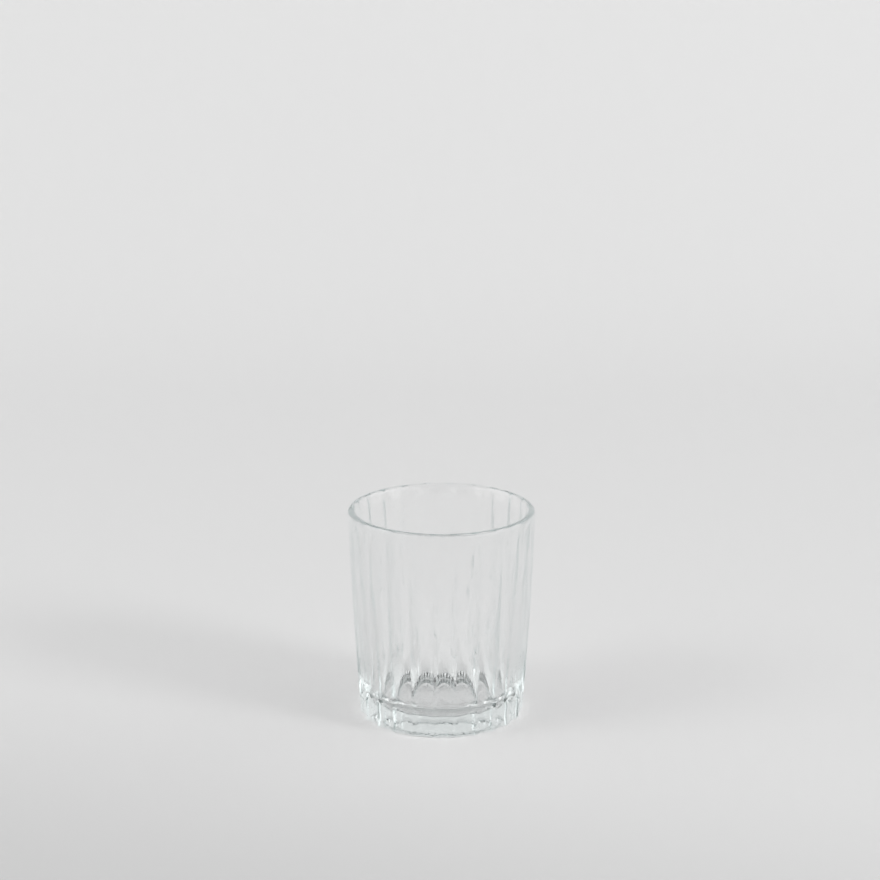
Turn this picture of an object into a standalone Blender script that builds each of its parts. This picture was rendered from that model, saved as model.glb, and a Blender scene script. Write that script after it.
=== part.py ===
# Fluted water glass, pressed from one gather of glass.
# Metres, +Z up. The origin is the centre of the circle that it stands on.

import math

import bmesh
import bpy

# Driving dimensions
HEIGHT = 0.0900
RIM_DIAMETER = 0.0790
FOOT_NARROWING = 0.0094  # how much less the foot measures across than the rim
WALL_BOW = 0.0006  # how far the wall swells past a straight taper, halfway up

RIM_THICKNESS = 0.0034  # the lip is a full round of this width
WALL_AT_FLOOR = 0.0055  # the wall grows to this where it meets the floor
FLOOR_THICKNESS = 0.0065
FLOOR_FILLET = 0.0105  # radius between the inside wall and the floor

FLUTE_COUNT = 24
FLUTE_DEPTH_FOOT = 0.0010  # from the ridges in to the middle of a flute, on the foot
FLUTE_DEPTH_LOW = 0.0020  # what the fade down from the rim would reach at the foot
FLUTE_DEPTH_RIM = 0.0010  # what the fade up the wall would leave at the rim
FOOT_PANEL = 0.0060  # height of the shallow flutes on the foot
FOOT_PANEL_BLEND = 0.0180  # above that they deepen over this height
PLAIN_BAND = 0.0018  # height of the smooth band between the flutes and the top of the rim
FLUTE_RUN_OUT = 0.0030  # the flutes rise to nothing over this height below the band
RIDGE_ANGLE = math.radians(-5.2)  # one ridge, measured from the front towards +X

FOOT_ROUND = 0.0010  # radius of the edge between the wall and the foot
RESTING_RING = 0.0088  # width of the flat ring that touches the table
PUNT_HEIGHT = 0.0010  # rise of the hollow inside that ring

# Fineness of the solid
STEPS_PER_FLUTE = 4
PUNT_STEPS = 3
FOOT_STEPS = 3
WALL_STEPS = 14
RUN_OUT_STEPS = 4
LIP_STEPS = 6
FILLET_STEPS = 5

# Colours and finish
GLASS_COLOUR = (0.90, 0.94, 0.92, 1.0)
GLASS_ROUGHNESS = 0.03
GLASS_IOR = 1.52

# Sizes that follow from the ones above
RIM_RADIUS = RIM_DIAMETER / 2
FOOT_RADIUS = (RIM_DIAMETER - FOOT_NARROWING) / 2
LIP_RADIUS = RIM_THICKNESS / 2
LIP_HEIGHT = HEIGHT - LIP_RADIUS
FLUTE_TOP = HEIGHT - PLAIN_BAND
RUN_OUT_START = FLUTE_TOP - FLUTE_RUN_OUT
FOOT_EDGE = FOOT_RADIUS - FOOT_ROUND
PUNT_RADIUS = FOOT_EDGE - FLUTE_DEPTH_FOOT - RESTING_RING


def ridge_radius(height):
    """Radius of the ridges: a straight taper from rim to foot that swells a little halfway up."""
    share = height / HEIGHT
    straight = FOOT_RADIUS + (RIM_RADIUS - FOOT_RADIUS) * share
    return straight + WALL_BOW * 4 * share * (1 - share)


def soft_step(value):
    """Soft step from 0 to 1 as the value goes from 0 to 1."""
    share = min(max(value, 0.0), 1.0)
    return share * share * (3 - 2 * share)


def flute_depth(height):
    """Depth of the flutes: shallow on the foot, deepest low on the wall, and run out below the plain band."""
    fade = FLUTE_DEPTH_LOW + (FLUTE_DEPTH_RIM - FLUTE_DEPTH_LOW) * height / HEIGHT
    deepened = soft_step((height - FOOT_PANEL) / FOOT_PANEL_BLEND)
    depth = FLUTE_DEPTH_FOOT + (fade - FLUTE_DEPTH_FOOT) * deepened
    return depth * soft_step((FLUTE_TOP - height) / FLUTE_RUN_OUT)


def underside():
    """The hollow under the glass, from near its middle out to the flat ring, then the ring's edge."""
    stations = []
    for step in range(1, PUNT_STEPS + 1):
        share = step / PUNT_STEPS
        stations.append((PUNT_RADIUS * share, PUNT_HEIGHT * (1 - share * share), 0.0))
    stations.append((FOOT_EDGE, 0.0, FLUTE_DEPTH_FOOT))
    return stations


def outside():
    """The rounded edge of the foot, the fluted wall with its run-out, and the plain band up to the lip."""
    stations = []
    for step in range(1, FOOT_STEPS):
        turn = math.pi / 2 * step / FOOT_STEPS
        height = FOOT_ROUND * (1 - math.cos(turn))
        radius = ridge_radius(height) - FOOT_ROUND * (1 - math.sin(turn))
        stations.append((radius, height, flute_depth(height)))
    heights = [FOOT_ROUND + (RUN_OUT_START - FOOT_ROUND) * step / WALL_STEPS for step in range(WALL_STEPS)]
    heights += [RUN_OUT_START + FLUTE_RUN_OUT * step / RUN_OUT_STEPS for step in range(RUN_OUT_STEPS + 1)]
    heights.append(LIP_HEIGHT)
    for height in heights:
        stations.append((ridge_radius(height), height, flute_depth(height)))
    return stations


def lip():
    """The round lip, over its crown and in to the wall of the cup."""
    stations = []
    centre = ridge_radius(LIP_HEIGHT) - LIP_RADIUS
    for step in range(1, LIP_STEPS + 1):
        turn = math.pi * step / LIP_STEPS
        radius = centre + LIP_RADIUS * math.cos(turn)
        height = LIP_HEIGHT + LIP_RADIUS * math.sin(turn)
        stations.append((radius, height, 0.0))
    return stations


def fillet():
    """The hollow round between the straight inside wall and the flat floor."""
    top_radius = ridge_radius(LIP_HEIGHT) - RIM_THICKNESS
    floor_radius = ridge_radius(FLOOR_THICKNESS) - WALL_AT_FLOOR
    slope = (top_radius - floor_radius) / (LIP_HEIGHT - FLOOR_THICKNESS)
    lean = math.atan(slope)
    centre_height = FLOOR_THICKNESS + FLOOR_FILLET
    centre = floor_radius + slope * FLOOR_FILLET - FLOOR_FILLET / math.cos(lean)
    stations = []
    for step in range(FILLET_STEPS + 1):
        turn = lean + (math.pi / 2 - lean) * step / FILLET_STEPS
        radius = centre + FLOOR_FILLET * math.cos(turn)
        height = centre_height - FLOOR_FILLET * math.sin(turn)
        stations.append((radius, height, 0.0))
    return stations


def ring(bm, station):
    """One closed ring of vertices: a circle, scooped between the ridges to the station's depth."""
    radius, height, depth = station
    verts = []
    for step in range(FLUTE_COUNT * STEPS_PER_FLUTE):
        across = 2 * (step % STEPS_PER_FLUTE) / STEPS_PER_FLUTE - 1  # -1 and 1 are ridges
        scooped = radius - depth * (1 - across * across)
        turn = RIDGE_ANGLE + 2 * math.pi * step / (FLUTE_COUNT * STEPS_PER_FLUTE)
        place = (scooped * math.sin(turn), -scooped * math.cos(turn), height)
        verts.append(bm.verts.new(place))
    return verts


def glass_material():
    material = bpy.data.materials.new("pressed_glass")
    material.use_nodes = True
    shader = material.node_tree.nodes["Principled BSDF"]
    shader.inputs["Base Color"].default_value = GLASS_COLOUR
    shader.inputs["Roughness"].default_value = GLASS_ROUGHNESS
    shader.inputs["Metallic"].default_value = 0.0
    shader.inputs["IOR"].default_value = GLASS_IOR
    shader.inputs["Transmission Weight"].default_value = 1.0
    return material


def tumbler():
    """The whole glass: its outline carried round the axis as rings, closed at both middles."""
    bm = bmesh.new()
    outline = underside() + outside() + lip() + fillet()
    rings = [ring(bm, station) for station in outline]
    count = len(rings[0])
    for inner, outer in zip(rings, rings[1:]):
        for i in range(count):
            j = (i + 1) % count
            bm.faces.new((inner[i], inner[j], outer[j], outer[i]))
    punt_middle = bm.verts.new((0.0, 0.0, PUNT_HEIGHT))
    floor_middle = bm.verts.new((0.0, 0.0, FLOOR_THICKNESS))
    for i in range(count):
        j = (i + 1) % count
        bm.faces.new((punt_middle, rings[0][j], rings[0][i]))
        bm.faces.new((floor_middle, rings[-1][i], rings[-1][j]))
    bmesh.ops.recalc_face_normals(bm, faces=bm.faces)
    mesh = bpy.data.meshes.new("tumbler")
    bm.to_mesh(mesh)
    bm.free()
    mesh.shade_smooth()
    mesh.set_sharp_from_angle(angle=math.radians(20))
    mesh.materials.append(glass_material())
    glass = bpy.data.objects.new("tumbler", mesh)
    bpy.context.scene.collection.objects.link(glass)


for old in list(bpy.data.objects):
    bpy.data.objects.remove(old, do_unlink=True)
tumbler()
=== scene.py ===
import math

import bpy
import numpy as np
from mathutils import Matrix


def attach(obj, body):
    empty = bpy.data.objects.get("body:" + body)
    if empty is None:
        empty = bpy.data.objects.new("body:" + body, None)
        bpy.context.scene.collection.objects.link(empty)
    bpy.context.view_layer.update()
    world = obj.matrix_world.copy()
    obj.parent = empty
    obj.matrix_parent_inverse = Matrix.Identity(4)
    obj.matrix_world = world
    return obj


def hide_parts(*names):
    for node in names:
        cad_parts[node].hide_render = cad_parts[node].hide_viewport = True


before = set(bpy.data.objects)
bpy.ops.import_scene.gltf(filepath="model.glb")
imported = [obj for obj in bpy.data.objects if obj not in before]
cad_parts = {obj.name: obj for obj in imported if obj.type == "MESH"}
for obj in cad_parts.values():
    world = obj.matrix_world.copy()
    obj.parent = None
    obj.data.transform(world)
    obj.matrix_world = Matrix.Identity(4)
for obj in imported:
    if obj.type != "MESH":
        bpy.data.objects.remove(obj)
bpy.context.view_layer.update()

scene = bpy.context.scene
millimetre = 0.001
print("frame loaded:", sorted(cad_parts))


# sRGB hex to linear: each channel through the standard sRGB curve
def linear(hexColour):
    channels = [int(hexColour[i:i + 2], 16) / 255 for i in (1, 3, 5)]
    curve = [c / 12.92 if c <= 0.04045 else ((c + 0.055) / 1.055) ** 2.4 for c in channels]
    return (*curve, 1.0)


# adds one node: settings are its own properties, inputs are values or the sockets that feed it
def addNode(tree, kind, inputs=None, **settings):
    node = tree.nodes.new(kind)
    for name, value in settings.items():
        setattr(node, name, value)
    for name, value in (inputs or {}).items():
        if isinstance(value, bpy.types.NodeSocket):
            tree.links.new(value, node.inputs[name])
        else:
            node.inputs[name].default_value = value
    return node


# soft step from 0 to 1 as x goes from low to high
def softStep(x, low, high):
    share = np.clip((x - low) / (high - low), 0.0, 1.0)
    return share * share * (3.0 - 2.0 * share)


# the glass, in millimetres, as in the solid that it stands for
glassShape = {
    "height": 90.0,
    "rimRadius": 39.5,
    "footRadius": 34.8,
    "wallBow": 0.6,          # the wall swells this far past a straight taper, halfway up
    "lipWidth": 3.4,         # the lip is a full round of this width
    "wallAtFloor": 5.5,
    "floorTop": 6.5,
    "floorFillet": 10.5,
    "footRound": 1.0,
    "puntRadius": 24.0,      # shallow hollow under the foot
    "puntHeight": 1.0,
}
flutes = {
    "count": 24,
    "ridgeDegrees": -5.2,    # one ridge, from the front towards the right
    "depthFoot": 1.0,
    "depthLow": 2.0,         # what the fade down from the rim would reach at the foot
    "depthRim": 1.0,
    "deepen": (6.0, 24.0),   # heights between which the foot's shallow flutes reach that fade
    "runOut": (85.2, 88.2),  # heights between which they rise to the plain band under the lip
    "ridgeSoftness": 0.03,   # the fire-polished ridge's round, as a share of half a flute
    "columns": 12,           # mesh columns from a ridge to the middle of a flute
    "columnCrowding": 1.6,   # above 1 they stand closer near the ridge
}

# mesh points along each stretch of the outline, both of its ends counted
outlinePoints = {
    "hollow": 13,
    "ring": 6,
    "footRound": 11,
    "wall": 50,
    "lip": 25,
    "innerWall": 28,
    "fillet": 26,
    "floor": 9,
}


# ridge radius: straight taper from rim to foot plus a parabola that is zero at both ends
def ridgeRadius(z):
    share = z / glassShape["height"]
    taper = glassShape["footRadius"] + (glassShape["rimRadius"] - glassShape["footRadius"]) * share
    return taper + glassShape["wallBow"] * 4.0 * share * (1.0 - share)


# flute depth: shallow on the foot, by a soft step to a straight fade up the wall,
# times a soft step down to nothing under the lip
def fluteDepth(z):
    fade = flutes["depthLow"] + (flutes["depthRim"] - flutes["depthLow"]) * z / glassShape["height"]
    depth = flutes["depthFoot"] + (fade - flutes["depthFoot"]) * softStep(z, *flutes["deepen"])
    return depth * (1.0 - softStep(z, *flutes["runOut"]))


# the outline from the middle of the underside to the middle of the cup's floor, as radius, height and
# flute depth: parabola, flat ring, quarter round, bowed wall, half-round lip, straight inner wall, arc, floor
def outline():
    floorTop, footRound = glassShape["floorTop"], glassShape["footRound"]
    lip = glassShape["lipWidth"] / 2
    lipHeight = glassShape["height"] - lip
    rows = []

    share = np.linspace(0.0, 1.0, outlinePoints["hollow"])
    rows.append((share * glassShape["puntRadius"], glassShape["puntHeight"] * (1 - share ** 2), 0 * share))

    footEdge = glassShape["footRadius"] - footRound
    share = np.linspace(0.0, 1.0, outlinePoints["ring"])[1:]
    ringRadius = glassShape["puntRadius"] + (footEdge - glassShape["puntRadius"]) * share
    rows.append((ringRadius, 0 * share, flutes["depthFoot"] * share))

    turn = np.linspace(0.0, math.pi / 2, outlinePoints["footRound"])[1:-1]
    z = footRound * (1 - np.cos(turn))
    rows.append((ridgeRadius(z) - footRound * (1 - np.sin(turn)), z, fluteDepth(z)))

    z = np.linspace(footRound, lipHeight, outlinePoints["wall"])
    rows.append((ridgeRadius(z), z, fluteDepth(z)))

    turn = np.linspace(0.0, math.pi, outlinePoints["lip"])[1:]
    lipMiddle = ridgeRadius(lipHeight) - lip
    rows.append((lipMiddle + lip * np.cos(turn), lipHeight + lip * np.sin(turn), 0 * turn))

    # the arc touches the leaning inner wall and the floor
    topRadius = lipMiddle - lip
    lowRadius = ridgeRadius(floorTop) - glassShape["wallAtFloor"]
    slope = (topRadius - lowRadius) / (lipHeight - floorTop)
    lean = math.atan(slope)
    fillet = glassShape["floorFillet"]
    arcHeight = floorTop + fillet
    arcRadius = lowRadius + slope * fillet - fillet / math.cos(lean)
    turn = np.linspace(lean, math.pi / 2, outlinePoints["fillet"])
    arc = (arcRadius + fillet * np.cos(turn), arcHeight - fillet * np.sin(turn), 0 * turn)
    share = np.linspace(0.0, 1.0, outlinePoints["innerWall"])[1:-1]
    wallRadius = topRadius + (arc[0][0] - topRadius) * share
    wallHeight = lipHeight + (arc[1][0] - lipHeight) * share
    rows.append((wallRadius, wallHeight, 0 * share))
    rows.append(arc)

    share = np.linspace(1.0, 0.0, outlinePoints["floor"])[1:]
    rows.append((arcRadius * share, floorTop + 0 * share, 0 * share))
    return [np.concatenate(column) for column in zip(*rows)]


# surface of two parameters, outline row and angle: radius = row radius - row depth x scoop(angle),
# where the scoop is a parabola across each flute whose ridges are rounded by a hyperbola
def buildGlass():
    radius, z, depth = outline()
    count = flutes["count"]
    half = np.linspace(0.0, 1.0, flutes["columns"] + 1) ** flutes["columnCrowding"]
    across = np.concatenate([half, 2 - half[-2:0:-1]])
    angle = (across[None, :] + 2 * np.arange(count)[:, None]).ravel() * math.pi / count
    angle = angle + math.radians(flutes["ridgeDegrees"])
    fromRidge = np.tile(1 - np.abs(1 - across), count)
    soft = flutes["ridgeSoftness"]
    eased = (np.sqrt(fromRidge ** 2 + soft ** 2) - soft) / (math.sqrt(1 + soft ** 2) - soft)
    scoop = 2 * eased - eased ** 2

    # the first and last rows are the two poles
    rows, columns = len(radius) - 2, len(angle)
    scooped = radius[1:-1, None] - depth[1:-1, None] * scoop[None, :]
    heights = np.broadcast_to(z[1:-1, None], scooped.shape)
    body = np.stack([scooped * np.sin(angle), -scooped * np.cos(angle), heights], axis=-1).reshape(-1, 3)
    poles = np.array([[0, 0, z[0]], [0, 0, z[-1]]])
    points = np.concatenate([body, poles]) * millimetre

    index = np.arange(rows * columns).reshape(rows, columns)
    beside = np.roll(index, -1, axis=1)
    quads = np.stack([index[:-1], beside[:-1], beside[1:], index[1:]], axis=-1).reshape(-1, 4)
    low, high = rows * columns, rows * columns + 1
    lowFan = np.stack([np.full(columns, low), beside[0], index[0]], axis=-1)
    highFan = np.stack([np.full(columns, high), index[-1], beside[-1]], axis=-1)

    mesh = bpy.data.meshes.new("fluted_glass")
    mesh.from_pydata(points.tolist(), [], quads.tolist() + lowFan.tolist() + highFan.tolist())
    mesh.polygons.foreach_set("use_smooth", np.ones(len(mesh.polygons), dtype=bool))
    mesh.update()
    piece = bpy.data.objects.new("fluted_glass", mesh)
    scene.collection.objects.link(piece)
    print("glass:", len(points), "points,", len(quads) * 2 + 2 * columns, "triangles")
    return piece


# pressed soda-lime glass, fire-polished: clear and bright, with a breath of green where it is thick,
# and uneven upright ripples, strongest up the wall, where the melt chilled against the mould
glassFinish = {
    "ior": 1.52,
    "roughness": (0.0, 0.02),
    "polishFrom": (0.3, 0.7),           # ripple noise over which the roughness goes from one to the other
    "tint": "#BFD2D1",
    "tintPerMetre": 5.5,
    "rippleLength": (3.0, 3.0, 20.0),   # mm, longest up the wall
    "rippleDetail": 1.0,
    "rippleHeight": 0.50,               # mm, at full strength
    "rippleShare": (0.1, 1.0),          # of that height, on the foot and on the upper wall
    "rippleFrom": (22.0, 45.0),         # mm up, over which the one goes to the other
    "skinLength": 1.6,                  # mm, fine unevenness of the mould's skin
    "skinDetail": 2.0,
    "skinHeight": 0.0008,               # mm
}


def pressedGlass():
    material = bpy.data.materials.new("pressed soda-lime glass")
    material.use_nodes = True
    tree = material.node_tree
    tree.nodes.clear()
    finish = glassFinish
    place = addNode(tree, "ShaderNodeTexCoord").outputs["Object"]
    waves = [1 / (length * millimetre) for length in finish["rippleLength"]]
    drawn = addNode(tree, "ShaderNodeVectorMath", {0: place, 1: waves}, operation="MULTIPLY")
    ripple = addNode(tree, "ShaderNodeTexNoise", {
        "Vector": drawn.outputs[0], "Scale": 1.0, "Detail": finish["rippleDetail"]})
    skin = addNode(tree, "ShaderNodeTexNoise", {
        "Vector": place, "Scale": 1 / (finish["skinLength"] * millimetre), "Detail": finish["skinDetail"]})
    up = addNode(tree, "ShaderNodeSeparateXYZ", {"Vector": place}).outputs["Z"]
    swell = addNode(tree, "ShaderNodeMapRange", {
        "Value": up, "From Min": finish["rippleFrom"][0] * millimetre,
        "From Max": finish["rippleFrom"][1] * millimetre, "To Min": finish["rippleShare"][0],
        "To Max": finish["rippleShare"][1]}, interpolation_type="SMOOTHSTEP")
    wave = addNode(tree, "ShaderNodeBump", {
        "Height": ripple.outputs["Fac"], "Strength": swell.outputs["Result"],
        "Distance": finish["rippleHeight"] * millimetre})
    peel = addNode(tree, "ShaderNodeBump", {
        "Height": skin.outputs["Fac"], "Strength": 1.0, "Distance": finish["skinHeight"] * millimetre,
        "Normal": wave.outputs["Normal"]})
    polish = addNode(tree, "ShaderNodeMapRange", {
        "Value": ripple.outputs["Fac"], "From Min": finish["polishFrom"][0],
        "From Max": finish["polishFrom"][1], "To Min": finish["roughness"][0],
        "To Max": finish["roughness"][1]})
    shader = addNode(tree, "ShaderNodeBsdfPrincipled", {
        "Base Color": (1.0, 1.0, 1.0, 1.0), "Transmission Weight": 1.0, "IOR": finish["ior"],
        "Roughness": polish.outputs["Result"], "Normal": peel.outputs["Normal"]})
    tint = addNode(tree, "ShaderNodeVolumeAbsorption", {
        "Color": linear(finish["tint"]), "Density": finish["tintPerMetre"]})
    addNode(tree, "ShaderNodeOutputMaterial", {
        "Surface": shader.outputs["BSDF"], "Volume": tint.outputs["Volume"]})
    return material


glass = buildGlass()
glass.data.materials.append(pressedGlass())
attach(glass, "root")
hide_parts("tumbler")
print("glass placed")


# the studio floor and backdrop, in metres: one paper sweep, flat in front and curved up behind
sweep = {
    "front": -4.0,
    "curveStart": 0.6,
    "curveRadius": 0.6,
    "curvePoints": 25,
    "wallTop": 0.95,
    "halfWidth": 4.0,
    "gap": 0.0001,                     # air between the paper and the foot, so that the two never coincide
    "colour": "#F2F2F2",
    "roughness": 0.9,
    "glow": "#C9C9C9",
    "paintedFootShadowAndGlowShare": (0.33, 0.66),         # under the foot, smaller there as a painted contact shadow, and on the open paper
    "paintedFootShadowEdge": (0.029, 0.040),        # distance from the axis over which the painted shadow under the foot goes to the open paper's share
    "frontWay": (-0.30, -0.95, 0.0),   # direction to the left front corner
    "frontPaintedShade": (0.0, 0.25, 0.64),    # start and end along it, and the share that the glow falls to: painted shade towards the front
    "backWay": (0.0, 1.0, 2.0),        # direction to the back and up it
    "backPaintedLight": (0.45, 0.95, 1.066),   # start and end along it, and the share that the glow rises to: painted light up the backdrop
}


# profile carried along x: flat floor, quarter circle, upright wall
def buildSweep():
    turn = np.linspace(0.0, math.pi / 2, sweep["curvePoints"])
    curveY = sweep["curveStart"] + sweep["curveRadius"] * np.sin(turn)
    curveZ = sweep["curveRadius"] * (1 - np.cos(turn))
    y = np.concatenate([[sweep["front"]], curveY, curveY[-1:]])
    z = np.concatenate([[0.0], curveZ, [sweep["wallTop"]]]) - sweep["gap"]
    x = np.array([-1.0, 1.0]) * sweep["halfWidth"]
    grid = np.stack([np.tile(x, (len(y), 1)), np.tile(y[:, None], 2), np.tile(z[:, None], 2)], axis=-1)
    index = np.arange(len(y) * 2).reshape(-1, 2)
    faces = np.stack([index[:-1, 0], index[:-1, 1], index[1:, 1], index[1:, 0]], axis=-1)
    mesh = bpy.data.meshes.new("paper_sweep")
    mesh.from_pydata(grid.reshape(-1, 3).tolist(), [], faces.tolist())
    mesh.polygons.foreach_set("use_smooth", np.ones(len(mesh.polygons), dtype=bool))
    mesh.update()
    piece = bpy.data.objects.new("paper_sweep", mesh)
    scene.collection.objects.link(piece)
    return piece


# matt background paper: no gloss; to the eye and through the glass a share of its paleness is its own glow,
# less of it under the foot as a painted contact shadow, and the glow fades to the left front as painted shade
# and rises up the backdrop as painted light; the rest takes the light and the shadow of the glass
def mattPaper():
    material = bpy.data.materials.new("matt background paper")
    material.use_nodes = True
    tree = material.node_tree
    tree.nodes.clear()
    ray = addNode(tree, "ShaderNodeLightPath")
    bent = addNode(tree, "ShaderNodeMath", {
        0: ray.outputs["Is Glossy Ray"], 1: ray.outputs["Is Transmission Ray"]}, operation="MAXIMUM")
    seen = addNode(tree, "ShaderNodeMath", {
        0: ray.outputs["Is Camera Ray"], 1: bent.outputs[0]}, operation="MAXIMUM")
    place = addNode(tree, "ShaderNodeTexCoord").outputs["Object"]
    away = addNode(tree, "ShaderNodeVectorMath", {0: place}, operation="LENGTH")
    # painted contact shadow: the glow's share drops on the paper under the foot
    glowShareAndPaintedFootShadow = addNode(tree, "ShaderNodeMapRange", {
        "Value": away.outputs["Value"], "From Min": sweep["paintedFootShadowEdge"][0], "From Max": sweep["paintedFootShadowEdge"][1],
        "To Min": sweep["paintedFootShadowAndGlowShare"][0], "To Max": sweep["paintedFootShadowAndGlowShare"][1]}, interpolation_type="SMOOTHSTEP")
    share = addNode(tree, "ShaderNodeMath", {
        0: seen.outputs[0], 1: glowShareAndPaintedFootShadow.outputs["Result"]}, operation="MULTIPLY")
    shader = addNode(tree, "ShaderNodeBsdfPrincipled", {
        "Base Color": linear(sweep["colour"]), "Roughness": sweep["roughness"], "Specular IOR Level": 0.0})
    # painted shade darkening the glow towards the left front and painted light brightening it up the backdrop
    paintedFades = []
    for way, fade in (("frontWay", "frontPaintedShade"), ("backWay", "backPaintedLight")):
        along = addNode(tree, "ShaderNodeVectorMath", {0: place, 1: sweep[way]}, operation="DOT_PRODUCT")
        near, far, level = sweep[fade]
        paintedFades.append(addNode(tree, "ShaderNodeMapRange", {
            "Value": along.outputs["Value"], "From Min": near, "From Max": far,
            "To Min": 1.0, "To Max": level}, interpolation_type="SMOOTHSTEP"))
    paintedShadeAndLight = addNode(tree, "ShaderNodeMath", {
        0: paintedFades[0].outputs["Result"], 1: paintedFades[1].outputs["Result"]}, operation="MULTIPLY")
    glow = addNode(tree, "ShaderNodeEmission", {
        "Color": linear(sweep["glow"]), "Strength": paintedShadeAndLight.outputs[0]})
    blend = addNode(tree, "ShaderNodeMixShader", {
        0: share.outputs[0], 1: shader.outputs["BSDF"], 2: glow.outputs["Emission"]})
    addNode(tree, "ShaderNodeOutputMaterial", {"Surface": blend.outputs[0]})
    return material


paper = buildSweep()
paper.data.materials.append(mattPaper())
print("paper laid")


# the room: a tall pale screen to each side, a strip of light low down, and darkness overhead
room = {
    "screen": 1.9,
    "screenEdge": (0.40, 0.70),   # sideways share of a direction where a screen begins and is full
    "screenTop": (0.84, 0.94),    # upward share of a direction where it fades out
    "strip": 0.3,
    "stripTop": (0.08, 0.24),     # upward share where the strip fades out
    "dark": 0.06,
}


# brightness of a direction: the screens by its sideways share, ended by its upward share, or the strip,
# whichever is brighter
def studioRoom():
    world = bpy.data.worlds.new("studio room")
    world.use_nodes = True
    tree = world.node_tree
    tree.nodes.clear()
    direction = addNode(tree, "ShaderNodeTexCoord").outputs["Generated"]
    axes = addNode(tree, "ShaderNodeSeparateXYZ", {"Vector": direction})
    sideways = addNode(tree, "ShaderNodeMath", {0: axes.outputs["X"]}, operation="ABSOLUTE")
    sides = addNode(tree, "ShaderNodeMapRange", {
        "Value": sideways.outputs[0], "From Min": room["screenEdge"][0], "From Max": room["screenEdge"][1],
        "To Min": room["dark"], "To Max": room["screen"]}, interpolation_type="SMOOTHSTEP")
    below = addNode(tree, "ShaderNodeMapRange", {
        "Value": axes.outputs["Z"], "From Min": room["screenTop"][0], "From Max": room["screenTop"][1],
        "To Min": 1.0, "To Max": 0.0}, interpolation_type="SMOOTHSTEP")
    screens = addNode(tree, "ShaderNodeMath", {
        0: sides.outputs[0], 1: below.outputs[0]}, operation="MULTIPLY")
    strip = addNode(tree, "ShaderNodeMapRange", {
        "Value": axes.outputs["Z"], "From Min": room["stripTop"][0], "From Max": room["stripTop"][1],
        "To Min": room["strip"], "To Max": room["dark"]}, interpolation_type="SMOOTHSTEP")
    level = addNode(tree, "ShaderNodeMath", {
        0: screens.outputs[0], 1: strip.outputs[0]}, operation="MAXIMUM")
    sky = addNode(tree, "ShaderNodeBackground", {
        "Color": (1.0, 1.0, 1.0, 1.0), "Strength": level.outputs[0]})
    addNode(tree, "ShaderNodeOutputWorld", {"Surface": sky.outputs["Background"]})
    return world


scene.world = studioRoom()

# two soft boxes in front, right and left: they light the paper and lay the glass's two faint shadows on it,
# while the glass itself shows the room (degrees from the front to the right and upward, metres, watts)
softBoxes = {
    "right soft box": {"turn": 62.0, "rise": 24.0, "away": 2.4, "size": 0.60, "watts": 36.0},
    "left soft box": {"turn": -71.5, "rise": 36.0, "away": 2.4, "size": 0.80, "watts": 16.5},
}
for name, box in softBoxes.items():
    lamp = bpy.data.lights.new(name, "AREA")
    lamp.size = box["size"]
    lamp.energy = box["watts"]
    turn, rise = math.radians(box["turn"]), math.radians(box["rise"])
    holder = bpy.data.objects.new(name, lamp)
    reach = box["away"] * math.cos(rise)
    holder.location = (reach * math.sin(turn), -reach * math.cos(turn), box["away"] * math.sin(rise))
    holder.rotation_euler = (math.pi / 2 - rise, 0.0, turn)
    holder.visible_glossy = False
    holder.visible_transmission = False
    scene.collection.objects.link(holder)
print("studio lit")

# the camera, in metres, fitted to the rim, the foot and both sides
view = {
    "place": (-0.0006, -0.8734, 0.3494),
    "downDegrees": 14.75,
    "focalPixels": 2161.8,
    "framePixels": 880,
    "sensor": 36.0,   # mm
}
camera = bpy.data.cameras.new("studio camera")
camera.sensor_width = view["sensor"]
camera.lens = view["focalPixels"] / view["framePixels"] * view["sensor"]
cameraObject = bpy.data.objects.new("studio camera", camera)
cameraObject.location = view["place"]
cameraObject.rotation_euler = (math.radians(90 - view["downDegrees"]), 0.0, 0.0)
scene.collection.objects.link(cameraObject)
scene.camera = cameraObject

# light runs a long way inside the wall and the foot before it comes out
bounces = {"max_bounces": 80, "transmission_bounces": 80, "glossy_bounces": 60}
for kind, count in bounces.items():
    setattr(scene.cycles, kind, count)
scene.cycles.denoising_input_passes = "RGB"
scene.cycles.blur_glossy = 0.0   # so that the light that the glass lets through reaches the paper
scene.view_settings.view_transform = "Standard"
print("camera set")
